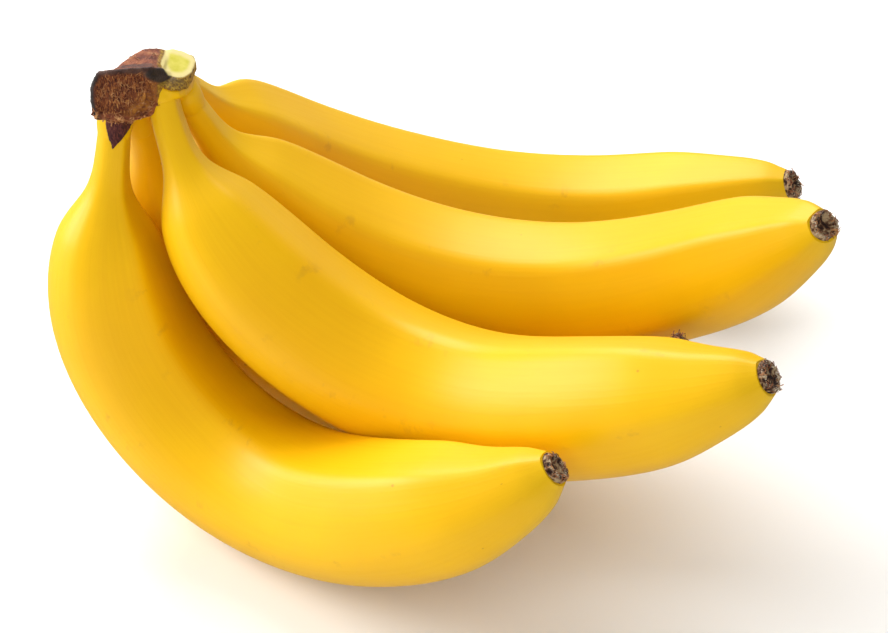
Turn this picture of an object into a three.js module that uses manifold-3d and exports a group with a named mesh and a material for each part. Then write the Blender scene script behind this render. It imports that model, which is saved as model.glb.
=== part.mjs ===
// A small hand of five bananas, laid down on its bellies.
//
// Each banana (a "finger") is one curved solid: a thin neck, a shoulder, a five-sided belly and a
// taper that ends in a flat face, where the dried flower sits. The necks meet in the crown, the
// woody piece that was cut from the stalk. Units are millimetres, +Z is up, and the origin is on
// the surface that the hand lies on, under the middle of its bounding box.

import * as THREE from 'three';
import { mergeVertices } from 'three/addons/utils/BufferGeometryUtils.js';
import Module from 'manifold-3d';

const wasm = await Module();
wasm.setup();

// ---- Driving dimensions -------------------------------------------------------------------

const LENGTH = 193; // neck to flower along the middle of a banana
const GIRTH = 16.2; // half the width of a full-grown banana at its belly
const GAP = 0.3; // clearance between two pieces that touch
const RIDGES = 5; // long soft ridges round a banana
const RIDGE = 0.03; // how far they stand out, as a share of the girth

const CROWN_LENGTH = 20; // along the row of necks
const CROWN_HEIGHT = 12;
const CROWN_WIDTH = 13;
const CROWN_BEVEL = 3;
const CROWN_RISE = 3; // how far the crown's middle lies above the row of neck ends
const CROWN_ALONG = 0.4; // where its middle lies along the row, from front (0) to rear (1)
const COLLAR_LENGTH = 7; // how far the crown reaches down each neck
const COLLAR_ROOT = 3; // how far a collar reaches back into the crown's block
const COLLAR_WALL = 1.1; // its wall round the neck's end, and where it runs out
const COLLAR_RIM = 0.7;

const FLOWER_LENGTH = 2.6; // dried flower remains on the tip
const FLOWER_FLARE = 0.9; // its outer end, as a share of the tip's own width

// Lying down, the hand rolls this far about a level line until its two lowest bellies carry it.
const REST_ROLL = THREE.MathUtils.degToRad(2.2);
const REST_ROLL_AZIMUTH = THREE.MathUtils.degToRad(31);

// Mesh fineness.
const SIDES = 18;
const STEPS = 34;
const SPINE_STEPS = 240;
const COLLAR_SIDES = 12;
const FLOWER_SIDES = 12;
const COLLAR_STEPS = 4;

// Half-width along a banana, as a share of its girth, from the neck's end (0) to the tip (1).
const WIDTH_AT = [0, 0.04, 0.1, 0.16, 0.23, 0.32, 0.45, 0.6, 0.74, 0.85, 0.93, 0.975, 1];
const WIDTH = [0.24, 0.225, 0.305, 0.68, 0.88, 0.97, 1, 0.99, 0.96, 0.855, 0.61, 0.43, 0.25];

// Stations along a banana at which its heading is given.
const PITCH_AT = [0, 0.14, 0.36, 0.64, 0.86, 1];
const SWAY_AT = [0, 0.33, 0.67, 1];

// The bananas in the order in which they keep their shape: a later one is pressed flat where it
// meets an earlier one. `neck` is where the middle of the neck ends in the crown. `fan` turns the
// plane of the curve about the vertical and `lean` tips that plane over, `pitch` is the climb of
// the heading within the plane and `sway` is its drift out of the plane, all in degrees. `twist`
// turns the ridges about the middle line.
const FINGERS = [
  {
    name: 'front_banana',
    neck: [-71.5, -43, 95.5],
    length: LENGTH,
    girth: GIRTH,
    fan: -21,
    lean: 11,
    pitch: [-89, -91, -50, 19, 33, 45],
    sway: [-8, 2, -25, 5],
    twist: 30,
  },
  {
    name: 'second_banana',
    neck: [-62, -39, 98.5],
    length: LENGTH - 8,
    girth: GIRTH,
    fan: -26,
    lean: 12,
    pitch: [-68, -56, -31, 21, 29, 36],
    sway: [-10, 13, -13, 0],
    twist: 18,
  },
  {
    name: 'third_banana',
    neck: [-58, -34, 94],
    length: LENGTH + 1,
    girth: GIRTH - 1.4,
    fan: -19,
    lean: -20,
    pitch: [-75, -62, -27, 20, 47, 56],
    sway: [-5, 4, 6, -7],
    twist: 14,
  },
  {
    name: 'rear_banana',
    neck: [-60, -26, 90.5],
    length: LENGTH + 2,
    girth: GIRTH - 1.5,
    fan: 1,
    lean: -28,
    pitch: [-66, -71, -43, -14, 28, 26],
    sway: [8, 1, 0, -2],
    twist: 5,
  },
  {
    name: 'lower_banana',
    neck: [-69.2, -37.2, 91.1],
    length: LENGTH + 1,
    girth: GIRTH - 2.1,
    fan: -13,
    lean: -10,
    pitch: [-81, -91, -39, 7, 38, 47],
    sway: [11, -8.5, -9.5, 15],
    twist: 0,
  },
];

// ---- Materials ----------------------------------------------------------------------------

const skinMaterial = () =>
  new THREE.MeshStandardMaterial({ color: 0xf5bd10, roughness: 0.45, metalness: 0 });
const crownMaterial = () =>
  new THREE.MeshStandardMaterial({ color: 0x6b3f22, roughness: 0.9, metalness: 0 });
const flowerMaterial = () =>
  new THREE.MeshStandardMaterial({ color: 0x5d4b3c, roughness: 0.95, metalness: 0 });

// ---- Curves -------------------------------------------------------------------------------

// A smooth curve through values at given stations: cubic pieces whose slope at a station is the
// slope between its two neighbours.
function through(stations, values, s) {
  const last = stations.length - 1;
  const slope = (i) => {
    const a = Math.max(i - 1, 0);
    const b = Math.min(i + 1, last);
    return (values[b] - values[a]) / (stations[b] - stations[a]);
  };
  let i = 0;
  while (i < last - 1 && s >= stations[i + 1]) i += 1;
  const span = stations[i + 1] - stations[i];
  const t = (s - stations[i]) / span;
  const rise = t * t * (3 - 2 * t);
  const out = t * (1 - t) ** 2 * span * slope(i);
  const back = t * t * (t - 1) * span * slope(i + 1);
  return values[i] * (1 - rise) + values[i + 1] * rise + out + back;
}

// Heading of a banana at station s, with the direction across its curve that faces inwards.
function headingAt(finger, s) {
  const fan = THREE.MathUtils.degToRad(finger.fan);
  const lean = THREE.MathUtils.degToRad(finger.lean);
  const pitch = THREE.MathUtils.degToRad(through(PITCH_AT, finger.pitch, s));
  const sway = THREE.MathUtils.degToRad(through(SWAY_AT, finger.sway, s));
  const forward = new THREE.Vector3(Math.cos(fan), Math.sin(fan), 0);
  const level = new THREE.Vector3(-Math.sin(fan), Math.cos(fan), 0);
  const up = new THREE.Vector3(0, 0, Math.cos(lean)).addScaledVector(level, Math.sin(lean));
  const side = level.clone().multiplyScalar(Math.cos(lean));
  side.z = -Math.sin(lean);
  const along = new THREE.Vector3()
    .addScaledVector(forward, Math.cos(sway) * Math.cos(pitch))
    .addScaledVector(up, Math.cos(sway) * Math.sin(pitch))
    .addScaledVector(side, Math.sin(sway));
  const inward = new THREE.Vector3()
    .addScaledVector(forward, -Math.sin(pitch))
    .addScaledVector(up, Math.cos(pitch));
  const across = new THREE.Vector3().crossVectors(inward, along);
  return { along, inward, across };
}

// The middle line of a banana: its heading summed up step by step from the neck.
function middleLine(finger) {
  const points = [new THREE.Vector3(...finger.neck)];
  const step = finger.length / SPINE_STEPS;
  for (let i = 0; i < SPINE_STEPS; i += 1) {
    const { along } = headingAt(finger, (i + 0.5) / SPINE_STEPS);
    points.push(points[i].clone().addScaledVector(along, step));
  }
  return (s) => {
    const place = s * SPINE_STEPS;
    const i = Math.min(Math.floor(place), SPINE_STEPS - 1);
    return points[i].clone().lerp(points[i + 1], place - i);
  };
}

// Rings lie closer together at the neck and at the tip, where the width changes fastest.
const ringStation = (t) => t - (0.5 * Math.sin(2 * Math.PI * t)) / (2 * Math.PI);

const widthAt = (finger, s) => finger.girth * through(WIDTH_AT, WIDTH, s);

// ---- Solids -------------------------------------------------------------------------------

// A closed surface from equal rings of points, with a flat fan over each end.
function skinOverRings(rings) {
  const sides = rings[0].length;
  const points = rings.flat();
  const faces = [];
  for (let r = 0; r < rings.length - 1; r += 1) {
    for (let k = 0; k < sides; k += 1) {
      const a = r * sides + k;
      const b = r * sides + ((k + 1) % sides);
      faces.push(a, b, b + sides, a, b + sides, a + sides);
    }
  }
  const lastRing = (rings.length - 1) * sides;
  for (const [start, reversed] of [[0, true], [lastRing, false]]) {
    const middle = new THREE.Vector3();
    for (let k = 0; k < sides; k += 1) middle.addScaledVector(points[start + k], 1 / sides);
    const hub = points.push(middle) - 1;
    for (let k = 0; k < sides; k += 1) {
      const a = start + k;
      const b = start + ((k + 1) % sides);
      if (reversed) faces.push(b, a, hub);
      else faces.push(a, b, hub);
    }
  }
  const geometry = new THREE.BufferGeometry().setFromPoints(points);
  geometry.setIndex(faces);
  return geometry;
}

// One ring of points about a centre; `radius` gives the distance out at each angle.
function roundRing(centre, inward, across, sides, radius) {
  const ring = [];
  for (let k = 0; k < sides; k += 1) {
    const angle = (2 * Math.PI * k) / sides;
    const point = centre.clone().addScaledVector(inward, radius(angle) * Math.cos(angle));
    ring.push(point.addScaledVector(across, -radius(angle) * Math.sin(angle)));
  }
  return ring;
}

// A banana's surface. `grow` pushes it out evenly, ends included, to cut a clearance elsewhere.
function fingerGeometry(finger, grow = 0) {
  const line = middleLine(finger);
  const twist = THREE.MathUtils.degToRad(finger.twist);
  const rings = [];
  for (let i = 0; i <= STEPS; i += 1) {
    const s = ringStation(i / STEPS);
    const { along, inward, across } = headingAt(finger, s);
    const centre = line(s);
    if (i === 0) centre.addScaledVector(along, -grow);
    if (i === STEPS) centre.addScaledVector(along, grow);
    const radius = (angle) =>
      widthAt(finger, s) * (1 + RIDGE * Math.cos(RIDGES * (angle - twist))) + grow;
    rings.push(roundRing(centre, inward, across, SIDES, radius));
  }
  return skinOverRings(rings);
}

// The dried flower: a short stub that narrows a little and is hollowed like a cup at its end.
function flowerGeometry(finger) {
  const tip = widthAt(finger, 1) * (1 - RIDGE);
  const outer = tip * FLOWER_FLARE;
  const profile = [
    new THREE.Vector2(0, 0),
    new THREE.Vector2(tip * 0.95, 0),
    new THREE.Vector2(tip, FLOWER_LENGTH * 0.25),
    new THREE.Vector2(outer, FLOWER_LENGTH * 0.8),
    new THREE.Vector2(outer * 0.75, FLOWER_LENGTH),
    new THREE.Vector2(0, FLOWER_LENGTH * 0.8),
  ];
  const geometry = new THREE.LatheGeometry(profile, FLOWER_SIDES);
  const { along } = headingAt(finger, 1);
  const turn = new THREE.Quaternion().setFromUnitVectors(new THREE.Vector3(0, 1, 0), along);
  const seat = middleLine(finger)(1).addScaledVector(along, GAP);
  return geometry.applyQuaternion(turn).translate(seat.x, seat.y, seat.z);
}

// Between three.js surfaces and solids that can be joined and cut.
function solidOf(geometry) {
  const bare = geometry.clone();
  bare.deleteAttribute('normal');
  bare.deleteAttribute('uv');
  const merged = mergeVertices(bare, 1e-4);
  return new wasm.Manifold(
    new wasm.Mesh({
      numProp: 3,
      vertProperties: Float32Array.from(merged.attributes.position.array),
      triVerts: Uint32Array.from(merged.index.array),
    }),
  );
}

function geometryOf(solid) {
  const { vertProperties, triVerts } = solid.getMesh();
  const geometry = new THREE.BufferGeometry();
  geometry.setAttribute('position', new THREE.BufferAttribute(vertProperties, 3));
  geometry.setIndex(new THREE.BufferAttribute(triVerts, 1));
  geometry.computeVertexNormals();
  return geometry;
}

// Each banana grown by the clearance, to cut what touches it.
const cutters = FINGERS.map((finger) => solidOf(fingerGeometry(finger, GAP)));

// The skin that swells round a neck: a short sleeve with a wall that thins down the neck.
function collarGeometry(finger) {
  const line = middleLine(finger);
  const rings = [];
  for (let i = 0; i <= COLLAR_STEPS; i += 1) {
    const reach = THREE.MathUtils.lerp(-COLLAR_ROOT, COLLAR_LENGTH, i / COLLAR_STEPS);
    const s = Math.max(reach, 0) / finger.length;
    const { along, inward, across } = headingAt(finger, s);
    const centre = line(s).addScaledVector(along, Math.min(reach, 0));
    const wall = THREE.MathUtils.lerp(COLLAR_WALL, COLLAR_RIM, Math.max(reach, 0) / COLLAR_LENGTH);
    rings.push(roundRing(centre, inward, across, COLLAR_SIDES, () => widthAt(finger, s) + wall));
  }
  return skinOverRings(rings);
}

// The crown: an oval block along the row of necks and a collar round each neck.
function crownSolid() {
  const first = new THREE.Vector3(...FINGERS[0].neck);
  const last = new THREE.Vector3(...FINGERS[3].neck);
  const row = last.clone().sub(first).normalize();
  const across = new THREE.Vector3(0, 0, 1).cross(row).normalize();
  const up = row.clone().cross(across);

  const oval = new THREE.Shape();
  const halfWidth = CROWN_WIDTH / 2 - CROWN_BEVEL;
  const halfHeight = CROWN_HEIGHT / 2 - CROWN_BEVEL;
  oval.absellipse(0, 0, halfWidth, halfHeight, 0, 2 * Math.PI);
  const depth = CROWN_LENGTH - 2 * CROWN_BEVEL;
  const block = new THREE.ExtrudeGeometry(oval, {
    depth,
    bevelSize: CROWN_BEVEL,
    bevelThickness: CROWN_BEVEL,
    bevelSegments: 3,
    curveSegments: 8,
  });
  block.translate(0, 0, -depth / 2);
  const middle = first.lerp(last, CROWN_ALONG).addScaledVector(up, CROWN_RISE);
  block.applyMatrix4(new THREE.Matrix4().makeBasis(across, up, row).setPosition(middle));

  let crown = solidOf(block);
  for (const finger of FINGERS) crown = crown.add(solidOf(collarGeometry(finger)));
  for (const cutter of cutters) crown = crown.subtract(cutter);
  return crown;
}

// ---- The hand -----------------------------------------------------------------------------

const hand = new THREE.Group();

function addPiece(name, geometry, material) {
  const piece = new THREE.Mesh(geometry, material);
  piece.name = name;
  hand.add(piece);
}

addPiece('crown', geometryOf(crownSolid()), crownMaterial());

FINGERS.forEach((finger, index) => {
  let banana = solidOf(fingerGeometry(finger));
  let flower = solidOf(flowerGeometry(finger));
  cutters.forEach((cutter, other) => {
    if (other < index) banana = banana.subtract(cutter);
    if (other !== index) flower = flower.subtract(cutter);
  });
  addPiece(finger.name, geometryOf(banana), skinMaterial());
  addPiece(`${finger.name}_flower`, geometryOf(flower), flowerMaterial());
});

// Roll the hand onto its bellies, then stand the middle of its box on the origin.
const rollAxis = new THREE.Vector3(Math.cos(REST_ROLL_AZIMUTH), Math.sin(REST_ROLL_AZIMUTH), 0);
hand.quaternion.setFromAxisAngle(rollAxis, REST_ROLL);
const box = new THREE.Box3().setFromObject(hand, true);
const middle = box.getCenter(new THREE.Vector3());
hand.position.set(-middle.x, -middle.y, -box.min.z);

export default hand;
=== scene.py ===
# %% [markdown]
# # A hand of bananas
# Five ripe bananas grow from one dried, cut crown. They lie on their bellies and
# their tips turn up, each with the dried remains of its flower.
# The CAD model says where everything is. It is loaded first and nothing moves it.

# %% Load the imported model
import math
import bmesh
import bpy
import numpy as np
from mathutils import Matrix, Vector, noise


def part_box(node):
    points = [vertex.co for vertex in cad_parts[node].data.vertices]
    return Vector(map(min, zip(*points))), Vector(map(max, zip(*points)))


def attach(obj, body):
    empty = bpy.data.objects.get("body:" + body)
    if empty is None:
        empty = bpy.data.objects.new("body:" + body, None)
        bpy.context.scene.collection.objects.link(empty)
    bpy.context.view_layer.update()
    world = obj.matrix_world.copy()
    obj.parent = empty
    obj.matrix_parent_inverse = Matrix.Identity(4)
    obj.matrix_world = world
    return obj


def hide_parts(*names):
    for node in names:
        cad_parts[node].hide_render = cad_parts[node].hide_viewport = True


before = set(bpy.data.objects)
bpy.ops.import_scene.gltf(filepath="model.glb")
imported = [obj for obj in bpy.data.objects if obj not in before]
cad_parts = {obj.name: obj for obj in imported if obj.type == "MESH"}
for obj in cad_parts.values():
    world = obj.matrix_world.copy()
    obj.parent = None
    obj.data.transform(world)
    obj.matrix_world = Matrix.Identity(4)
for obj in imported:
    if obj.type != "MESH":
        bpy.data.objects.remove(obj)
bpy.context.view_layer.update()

# %% [markdown]
# ## One rule for every banana
# A banana is a thick line that bends. Its middle line is steered by its pitch
# (up and down in the plane that it fans out in) and its sway (out of that plane).
# Its thickness follows one profile: a knob at the crown, a thin neck, a full
# belly, and a short taper to the dried flower. Lengths are in millimetres here,
# and angles in degrees, in the frame of the hand before it is laid down.

# %% The sizes of the hand
MM = 0.001
LENGTH = 193.0
GIRTH = 16.2
WIDTH_AT = [0, 0.04, 0.1, 0.16, 0.23, 0.32, 0.45, 0.6, 0.74, 0.85, 0.93, 0.975, 1]
WIDTH = [0.24, 0.225, 0.305, 0.68, 0.88, 0.97, 1, 0.99, 0.96, 0.855, 0.61, 0.43, 0.25]
PITCH_AT = [0, 0.14, 0.36, 0.64, 0.86, 1]
SWAY_AT = [0, 0.33, 0.67, 1]
# neck end, length, radius, fan, lean, pitch, sway, twist of the ridges
FINGERS = {
    "front_banana": ((-71.5, -43, 95.5), LENGTH, GIRTH, -21, 11,
                     (-89, -91, -50, 19, 33, 45), (-8, 2, -25, 5), 30),
    "second_banana": ((-62, -39, 98.5), LENGTH - 8, GIRTH, -26, 12,
                      (-68, -56, -31, 21, 29, 36), (-10, 13, -13, 0), 18),
    "third_banana": ((-58, -34, 94), LENGTH + 1, GIRTH - 1.4, -19, -20,
                     (-75, -62, -27, 20, 47, 56), (-5, 4, 6, -7), 14),
    "rear_banana": ((-60, -26, 90.5), LENGTH + 2, GIRTH - 1.5, 1, -28,
                    (-66, -71, -43, -14, 28, 26), (8, 1, 0, -2), 5),
    "lower_banana": ((-69.2, -37.2, 91.1), LENGTH + 1, GIRTH - 2.1, -13, -10,
                     (-81, -91, -39, 7, 38, 47), (11, -8.5, -9.5, 15), 0),
}
SPINE_STEPS = 240
print(len(FINGERS), "bananas, the longest", max(f[1] for f in FINGERS.values()), "mm")

# %% A smooth curve through given stations
def through(stations, values, s):
    x, y = np.asarray(stations, float), np.asarray(values, float)
    slope = np.empty_like(y)
    slope[1:-1] = (y[2:] - y[:-2]) / (x[2:] - x[:-2])
    slope[0] = (y[1] - y[0]) / (x[1] - x[0])
    slope[-1] = (y[-1] - y[-2]) / (x[-1] - x[-2])
    i = np.clip(np.searchsorted(x, s, side="right") - 1, 0, len(x) - 2)
    h = x[i + 1] - x[i]
    t = (s - x[i]) / h
    return ((1 + 2 * t) * (1 - t) ** 2 * y[i] + t * (1 - t) ** 2 * h * slope[i]
            + t * t * (3 - 2 * t) * y[i + 1] + t * t * (t - 1) * h * slope[i + 1])


print("neck is", round(float(through(WIDTH_AT, WIDTH, 0.05)) * GIRTH * 2, 1), "mm thick")

# %% The middle line of a banana, and its two cross directions
def middle_line(name):
    neck, length, _, fan, lean, pitch_keys, sway_keys, _ = FINGERS[name]
    fan, lean = math.radians(fan), math.radians(lean)
    forward = np.array([math.cos(fan), math.sin(fan), 0])
    level = np.array([-math.sin(fan), math.cos(fan), 0])
    vertical = np.array([0, 0, 1.0])
    up = math.cos(lean) * vertical + math.sin(lean) * level
    side = math.cos(lean) * level - math.sin(lean) * vertical

    def heading(s):
        pitch = np.radians(through(PITCH_AT, pitch_keys, s))[:, None]
        sway = np.radians(through(SWAY_AT, sway_keys, s))[:, None]
        along = np.cos(sway) * (np.cos(pitch) * forward + np.sin(pitch) * up)
        return along + np.sin(sway) * side, -np.sin(pitch) * forward + np.cos(pitch) * up

    steps = heading((np.arange(SPINE_STEPS) + 0.5) / SPINE_STEPS)[0] * length / SPINE_STEPS
    points = np.array(neck, float) + np.vstack([np.zeros(3), np.cumsum(steps, 0)])
    along, inward = heading(np.linspace(0, 1, SPINE_STEPS + 1))
    return points, along, inward, np.cross(inward, along)


LINES = {name: middle_line(name) for name in FINGERS}
print("front tip at", LINES["front_banana"][0][-1].round(1))

# %% [markdown]
# ## Lay the hand down
# The hand rolls a little onto its bellies. The CAD node of the front banana then
# says how far the whole hand is shifted.

# %% From the hand's own frame to the part's frame
REST_ROLL = 2.2
REST_ROLL_AZIMUTH = 31
azimuth = math.radians(REST_ROLL_AZIMUTH)
ROLL = np.array(Matrix.Rotation(math.radians(REST_ROLL), 3,
                                Vector((math.cos(azimuth), math.sin(azimuth), 0))))


def skin_points(name, s, turn, out=0.0):
    """Points on a banana's skin in the hand's frame, at stations s and angles turn."""
    points, _, inward, across = LINES[name]
    at = np.asarray(s, float) * SPINE_STEPS

    def pick(rows):
        return np.stack([np.interp(at, np.arange(len(rows)), rows[:, k]) for k in range(3)], -1)

    radius = FINGERS[name][2] * through(WIDTH_AT, WIDTH, s) + out
    return pick(points) + radius[..., None] * (np.cos(turn)[..., None] * pick(inward)
                                               - np.sin(turn)[..., None] * pick(across))


s, turn = np.meshgrid(np.linspace(0, 1, 60), np.linspace(0, 2 * np.pi, 60))
rolled = skin_points("front_banana", s.ravel(), turn.ravel()) @ ROLL.T * MM
low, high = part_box("front_banana")
SHIFT = (np.array(low) + np.array(high)) / 2 - (rolled.min(0) + rolled.max(0)) / 2


def placed(points):
    """Millimetres in the hand's frame to metres in the part's frame."""
    return np.asarray(points, float) @ ROLL.T * MM + SHIFT


print("the hand is shifted by", (SHIFT / MM).round(2), "mm")

# %% [markdown]
# ## Camera
# A long lens looks down at the hand from the front, so the bananas keep their
# true proportions.

# %% Set up the camera
VIEW_TILT = math.radians(40)
DISTANCE = 800
FOCAL_PIXELS = 3240
WIDE = 888
view_back = np.array([0, -math.cos(VIEW_TILT), math.sin(VIEW_TILT)])
view_up = np.array([0, math.sin(VIEW_TILT), math.cos(VIEW_TILT)])
view_right = np.array([1.0, 0, 0])
lens = bpy.data.cameras.new("camera")
lens.sensor_width = 36
lens.lens = FOCAL_PIXELS / WIDE * 36
lens.clip_start = 0.01
camera = bpy.data.objects.new("camera", lens)
bpy.context.scene.collection.objects.link(camera)
turned = Matrix([list(row) for row in (ROLL @ np.stack([view_right, view_up, view_back], 1))])
camera.matrix_world = Matrix.Translation(placed(view_back * DISTANCE)) @ turned.to_4x4()
bpy.context.scene.camera = camera
print("lens", round(lens.lens, 1), "mm at", [round(c, 3) for c in camera.location])

# %% [markdown]
# ## Small helpers
# Node trees are built with one function that adds a node, sets it up and links
# it, and a shorter one for arithmetic that calls it. Colours are written as sRGB
# hex values, and one function turns them linear.

# %% Helpers for nodes and colours
def linear(code):
    shares = [int(code[i:i + 2], 16) / 255 for i in (1, 3, 5)]
    flat = [c / 12.92 if c <= 0.04045 else ((c + 0.055) / 1.055) ** 2.4 for c in shares]
    return (*flat, 1.0)


def add_node(tree, kind, inputs=None, stops=None, **settings):
    """Add a node, set its properties and ramp stops, then set or link its inputs."""
    made = tree.nodes.new(kind)
    for name, value in settings.items():
        setattr(made, name, value)
    if stops:
        ramp = made.color_ramp
        while len(ramp.elements) < len(stops):
            ramp.elements.new(1.0)
        for element, (place, colour) in zip(ramp.elements, stops):
            element.position = place
            element.color = linear(colour) if isinstance(colour, str) else (colour,) * 3 + (1,)
    for name, value in (inputs or {}).items():
        socket = made.inputs[name]
        if isinstance(value, bpy.types.NodeSocket):
            tree.links.new(value, socket)
        else:
            socket.default_value = value
    return made


def calc(tree, operation, *values):
    """Arithmetic on numbers or sockets, and the socket with its result."""
    return add_node(tree, "ShaderNodeMath", dict(enumerate(values)), operation=operation).outputs[0]


def new_material(name):
    material = bpy.data.materials.new(name)
    material.use_nodes = True
    material.node_tree.nodes.clear()
    return material, material.node_tree


def new_geometry_tree(name, sockets):
    """A Geometry Nodes tree with a Geometry input and output, and the named inputs."""
    tree = bpy.data.node_groups.new(name, "GeometryNodeTree")
    tree.interface.new_socket("Geometry", in_out="OUTPUT", socket_type="NodeSocketGeometry")
    tree.interface.new_socket("Geometry", in_out="INPUT", socket_type="NodeSocketGeometry")
    for label, kind in sockets.items():
        tree.interface.new_socket(label, in_out="INPUT", socket_type="NodeSocket" + kind)
    return tree, add_node(tree, "NodeGroupInput").outputs


def grown(source, tree, values, name):
    """Run a Geometry Nodes tree on an object and return the result as a plain object."""
    modifier = source.modifiers.new("grow", "NODES")
    modifier.node_group = tree
    codes = {item.name: item.identifier for item in tree.interface.items_tree
             if item.in_out == "INPUT"}
    for label, value in values.items():
        modifier[codes[label]] = value
    seen = source.evaluated_get(bpy.context.evaluated_depsgraph_get())
    mesh = bpy.data.meshes.new_from_object(seen)
    source.modifiers.remove(modifier)
    mesh.name = name
    made = bpy.data.objects.new(name, mesh)
    bpy.context.scene.collection.objects.link(made)
    return made


def mesh_object(name, points, edges=(), faces=()):
    mesh = bpy.data.meshes.new(name)
    mesh.from_pydata([tuple(p) for p in points], list(edges), list(faces))
    made = bpy.data.objects.new(name, mesh)
    bpy.context.scene.collection.objects.link(made)
    return made


def set_attribute(mesh, name, values, kind="FLOAT"):
    layer = mesh.attributes.new(name, kind, "POINT")
    flat = np.asarray(values, np.float32).ravel()
    layer.data.foreach_set("vector" if kind == "FLOAT_VECTOR" else "value", flat)


print("helpers ready, pure red is", [round(c, 2) for c in linear("#FF0000")])

# %% [markdown]
# ## Banana skin
# Ripe banana skin is a thin, slightly waxy leather. The eye gets a deep, even
# yellow, a broad soft shine on the flat facets, faint fibres along the fruit, a
# touch of green at the neck and tip, and a few brown freckles and scuffs.

# %% Make the skin material
FIBRE = 1.1       # mm from one fibre to the next
FIBRE_RUN = 45    # mm that one fibre keeps its shade
skin, tree = new_material("ripe_banana_skin")
place = add_node(tree, "ShaderNodeAttribute", attribute_name="skin_place").outputs["Vector"]
ends = add_node(tree, "ShaderNodeAttribute", attribute_name="ends").outputs["Fac"]
crest = add_node(tree, "ShaderNodeAttribute", attribute_name="crest").outputs["Fac"]
stretched = add_node(tree, "ShaderNodeMapping", {
    "Vector": place, "Scale": (1 / (FIBRE * MM), 1 / (FIBRE * MM), 1 / (FIBRE_RUN * MM))})
fibres = add_node(tree, "ShaderNodeTexNoise", {
    "Vector": stretched.outputs[0], "Scale": 1.0, "Detail": 3.0, "Roughness": 0.6})
clouds = add_node(tree, "ShaderNodeTexNoise", {
    "Vector": place, "Scale": 28.0, "Detail": 2.0, "Roughness": 0.5})
yellow = add_node(tree, "ShaderNodeValToRGB", {"Fac": clouds.outputs["Fac"]},
                  stops=[(0.3, "#E3AC00"), (0.7, "#EAB600")])
streaked = add_node(tree, "ShaderNodeMix", {
    0: add_node(tree, "ShaderNodeMapRange", {
        "Value": fibres.outputs["Fac"], "From Min": 0.45, "From Max": 0.8,
        "To Min": 0.0, "To Max": 0.22}).outputs[0],
    6: yellow.outputs["Color"], 7: linear("#D99C00")}, data_type="RGBA")
greened = add_node(tree, "ShaderNodeMix", {
    0: calc(tree, "MULTIPLY", ends, 0.55),
    6: streaked.outputs[2], 7: linear("#C4A80C")}, data_type="RGBA")
freckles = add_node(tree, "ShaderNodeTexVoronoi", {"Vector": place, "Scale": 230.0})
freckle_size = add_node(tree, "ShaderNodeSeparateColor", {0: freckles.outputs["Color"]})
freckle_reach = add_node(tree, "ShaderNodeMapRange", {
    "Value": freckle_size.outputs[0], "From Min": 0.9, "From Max": 1.0,
    "To Min": 0.0, "To Max": 0.11}).outputs[0]
spotted = calc(tree, "GREATER_THAN", freckle_reach, freckles.outputs["Distance"])
freckled = add_node(tree, "ShaderNodeMix", {
    0: calc(tree, "MULTIPLY", spotted, 0.5),
    6: greened.outputs[2], 7: linear("#A8701A")}, data_type="RGBA")
scuffs = add_node(tree, "ShaderNodeTexNoise", {
    "Vector": place, "Scale": 160.0, "Detail": 4.0, "Roughness": 0.65})
scuff_share = add_node(tree, "ShaderNodeMapRange", {
    "Value": scuffs.outputs["Fac"], "From Min": 0.62, "From Max": 0.72,
    "To Min": 0.0, "To Max": 0.35}).outputs[0]
scuffed = add_node(tree, "ShaderNodeMix", {
    0: calc(tree, "MULTIPLY", crest, scuff_share),
    6: freckled.outputs[2], 7: linear("#B98420")}, data_type="RGBA")
relief = add_node(tree, "ShaderNodeBump", {
    "Height": fibres.outputs["Fac"], "Strength": 0.35, "Distance": 0.12 * MM})
shine = add_node(tree, "ShaderNodeBsdfPrincipled", {
    "Base Color": scuffed.outputs[2], "IOR": 1.45, "Specular IOR Level": 0.34,
    "Subsurface Weight": 0.06,
    "Subsurface Radius": (1.0, 0.6, 0.1), "Subsurface Scale": 1.5 * MM,
    "Roughness": add_node(tree, "ShaderNodeMapRange", {
        "Value": fibres.outputs["Fac"], "To Min": 0.38, "To Max": 0.48}).outputs[0],
    "Normal": relief.outputs[0]})
add_node(tree, "ShaderNodeOutputMaterial", {"Surface": shine.outputs[0]})
print("skin material has", len(tree.nodes), "nodes")

# %% [markdown]
# ## Sweep the bananas
# Geometry Nodes sweep a circle along each middle line and then push every point
# out to the banana's own cross-section: five soft ridges with flatter facets in
# between, strongest at the neck and tip. The circle and the line carry their
# angle, place and directions as attributes, so the rule reads like the CAD's.

# %% Build the sweep
RIDGE_COUNT = 5.0
SHARPNESS = 4.0      # power that narrows the crest of a ridge
CREST_MEAN = 0.27    # what that power comes to on average, round the skin
BOLD_MEAN = 0.9      # how bold the ridges are on average
tree, given = new_geometry_tree("banana_sweep", {
    "Girth": "Float", "Length": "Float", "Ridge": "Float", "Crest": "Float",
    "Twist": "Float", "Uneven": "Float", "Boldest": "Float", "Sides": "Int",
    "Skin": "Material"})
line = add_node(tree, "GeometryNodeMeshToCurve", {"Mesh": given["Geometry"]})
circle = add_node(tree, "GeometryNodeCurvePrimitiveCircle", {"Resolution": given["Sides"]})
index = add_node(tree, "GeometryNodeInputIndex")
share_of_turn = calc(tree, "DIVIDE", index.outputs[0], given["Sides"])
turned_by = calc(tree, "MULTIPLY", share_of_turn, 2 * math.pi)
marked = add_node(tree, "GeometryNodeStoreNamedAttribute", {
    "Geometry": circle.outputs[0], "Name": "turn", "Value": turned_by})
tube = add_node(tree, "GeometryNodeCurveToMesh", {
    "Curve": line.outputs[0], "Profile Curve": marked.outputs[0], "Fill Caps": True})
read = {}
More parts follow.
